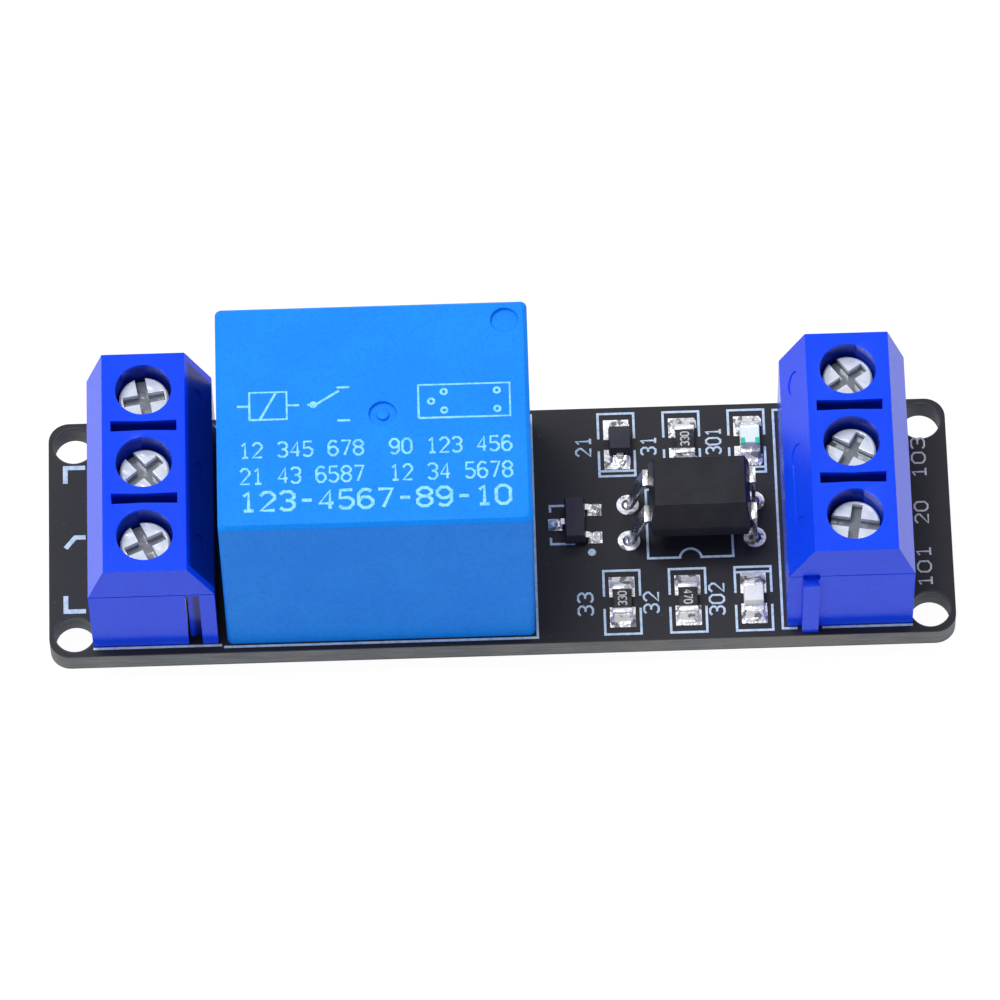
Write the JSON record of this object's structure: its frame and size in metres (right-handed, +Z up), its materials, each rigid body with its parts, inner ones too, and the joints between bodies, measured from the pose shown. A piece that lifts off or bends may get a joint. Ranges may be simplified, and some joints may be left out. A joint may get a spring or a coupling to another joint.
{
  "type": "relay module board",
  "caption": "Narrow circuit board with a sealed power relay, an optocoupler and small driver parts, between screw terminal blocks with rising clamps.",
  "frame": {"origin": "below the middle of the board, at the tips of the longest pins", "axes": "+X along the board from the output terminal to the input terminal, +Y to the board's back edge, +Z up from the board towards the relay"},
  "size_m": [0.0564, 0.0164, 0.0185],
  "materials": {
    "solder_mask": "satin black mask on fibreglass",
    "print_ink": "printed lines",
    "tinned_pads": "tinned copper",
    "solder": "bright solder",
    "terminal_blue": "moulded, slightly glossy",
    "screw_steel": "bright plated",
    "cage_steel": "zinc plated",
    "contact_brass": "tinned brass",
    "relay_blue": "moulded, satin",
    "sealing_resin": "cast epoxy",
    "black_moulding": "moulded",
    "bobbin_nylon": "moulded, natural",
    "coil_copper": "enamelled copper wire",
    "soft_iron": "nickel plated",
    "spring_bronze": "rolled strip",
    "silver_contact": "silver alloy",
    "tinned_pins": "tinned",
    "package_black": "moulded epoxy",
    "component_leads": "tinned strip",
    "resistor_glaze": "glass glaze on ceramic",
    "chip_ends": "tinned",
    "led_base": "white resin",
    "led_lens": "clear resin"
  },
  "bodies": {
    "board": {"circuit_board": "solder_mask", "printed_lines": "print_ink", "solder_pads": "tinned_pads", "chip_solder": "solder", "pin_solder": "solder", "relay_cover": "relay_blue", "relay_seal": "sealing_resin", "relay_base": "black_moulding", "relay_bobbin": "bobbin_nylon", "relay_coil": "coil_copper", "relay_core": "soft_iron", "relay_yoke": "soft_iron", "relay_open_terminal": "spring_bronze", "relay_closed_terminal": "spring_bronze", "relay_fixed_contacts": "silver_contact", "relay_common_pin": "tinned_pins", "relay_coil_pins": "tinned_pins", "optocoupler_body": "package_black", "optocoupler_leads": "component_leads", "transistor_body": "package_black", "transistor_leads": "component_leads", "diode_body": "package_black", "diode_leads": "component_leads", "left_housing": "terminal_blue", "left_contact_bars": "contact_brass", "left_contact_pins": "tinned_pins", "right_housing": "terminal_blue", "right_contact_bars": "contact_brass", "right_contact_pins": "tinned_pins", "resistor_1": "resistor_glaze", "resistor_ends_1": "chip_ends", "resistor_2": "resistor_glaze", "resistor_ends_2": "chip_ends", "resistor_3": "resistor_glaze", "resistor_ends_3": "chip_ends", "led_base_1": "led_base", "led_lens_1": "led_lens", "led_ends_1": "chip_ends", "led_base_2": "led_base", "led_lens_2": "led_lens", "led_ends_2": "chip_ends"},
    "armature": {"relay_armature": "soft_iron", "relay_contact_spring": "spring_bronze", "relay_moving_contact": "silver_contact"},
    "left_screw_1": {"left_screw_1": "screw_steel"},
    "left_cage_1": {"left_cage_1": "cage_steel"},
    "left_screw_2": {"left_screw_2": "screw_steel"},
    "left_cage_2": {"left_cage_2": "cage_steel"},
    "left_screw_3": {"left_screw_3": "screw_steel"},
    "left_cage_3": {"left_cage_3": "cage_steel"},
    "right_screw_1": {"right_screw_1": "screw_steel"},
    "right_cage_1": {"right_cage_1": "cage_steel"},
    "right_screw_2": {"right_screw_2": "screw_steel"},
    "right_cage_2": {"right_cage_2": "cage_steel"},
    "right_screw_3": {"right_screw_3": "screw_steel"},
    "right_cage_3": {"right_cage_3": "cage_steel"}
  },
  "joints": [
    {"name": "left_screw_1_turn", "type": "hinge", "parent": "board", "child": "left_screw_1", "pos_m": [-0.02183, -0.00508, 0.0108], "axis": [0, 0, 1], "range_deg": [-1440, 0]},
    {"name": "left_cage_1_lift", "type": "slide", "parent": "board", "child": "left_cage_1", "axis": [0, 0, 1], "range_m": [0, 0.0018]},
    {"name": "left_screw_2_turn", "type": "hinge", "parent": "board", "child": "left_screw_2", "pos_m": [-0.02183, 0, 0.0108], "axis": [0, 0, 1], "range_deg": [-1440, 0]},
    {"name": "left_cage_2_lift", "type": "slide", "parent": "board", "child": "left_cage_2", "axis": [0, 0, 1], "range_m": [0, 0.0018]},
    {"name": "left_screw_3_turn", "type": "hinge", "parent": "board", "child": "left_screw_3", "pos_m": [-0.02183, 0.00508, 0.0108], "axis": [0, 0, 1], "range_deg": [-1440, 0]},
    {"name": "left_cage_3_lift", "type": "slide", "parent": "board", "child": "left_cage_3", "axis": [0, 0, 1], "range_m": [0, 0.0018]},
    {"name": "right_screw_1_turn", "type": "hinge", "parent": "board", "child": "right_screw_1", "pos_m": [0.02183, -0.00508, 0.0108], "axis": [0, 0, 1], "range_deg": [-1440, 0]},
    {"name": "right_cage_1_lift", "type": "slide", "parent": "board", "child": "right_cage_1", "axis": [0, 0, 1], "range_m": [0, 0.0018]},
    {"name": "right_screw_2_turn", "type": "hinge", "parent": "board", "child": "right_screw_2", "pos_m": [0.02183, 0, 0.0108], "axis": [0, 0, 1], "range_deg": [-1440, 0]},
    {"name": "right_cage_2_lift", "type": "slide", "parent": "board", "child": "right_cage_2", "axis": [0, 0, 1], "range_m": [0, 0.0018]},
    {"name": "right_screw_3_turn", "type": "hinge", "parent": "board", "child": "right_screw_3", "pos_m": [0.02183, 0.00508, 0.0108], "axis": [0, 0, 1], "range_deg": [-1440, 0]},
    {"name": "right_cage_3_lift", "type": "slide", "parent": "board", "child": "right_cage_3", "axis": [0, 0, 1], "range_m": [0, 0.0018]},
    {"name": "armature_swing", "type": "hinge", "parent": "board", "child": "armature", "pos_m": [0.00044, 0, 0.0143], "axis": [0, 1, 0], "range_deg": [-2.5, 0], "stiffness_Nm_per_rad": 0.02, "springref_deg": 2.86}
  ],
  "couplings": [
    {"joint": "left_screw_1_turn", "follows": "left_cage_1_lift", "rad_per_m": -13963},
    {"joint": "left_screw_2_turn", "follows": "left_cage_2_lift", "rad_per_m": -13963},
    {"joint": "left_screw_3_turn", "follows": "left_cage_3_lift", "rad_per_m": -13963},
    {"joint": "right_screw_1_turn", "follows": "right_cage_1_lift", "rad_per_m": -13963},
    {"joint": "right_screw_2_turn", "follows": "right_cage_2_lift", "rad_per_m": -13963},
    {"joint": "right_screw_3_turn", "follows": "right_cage_3_lift", "rad_per_m": -13963}
  ]
}
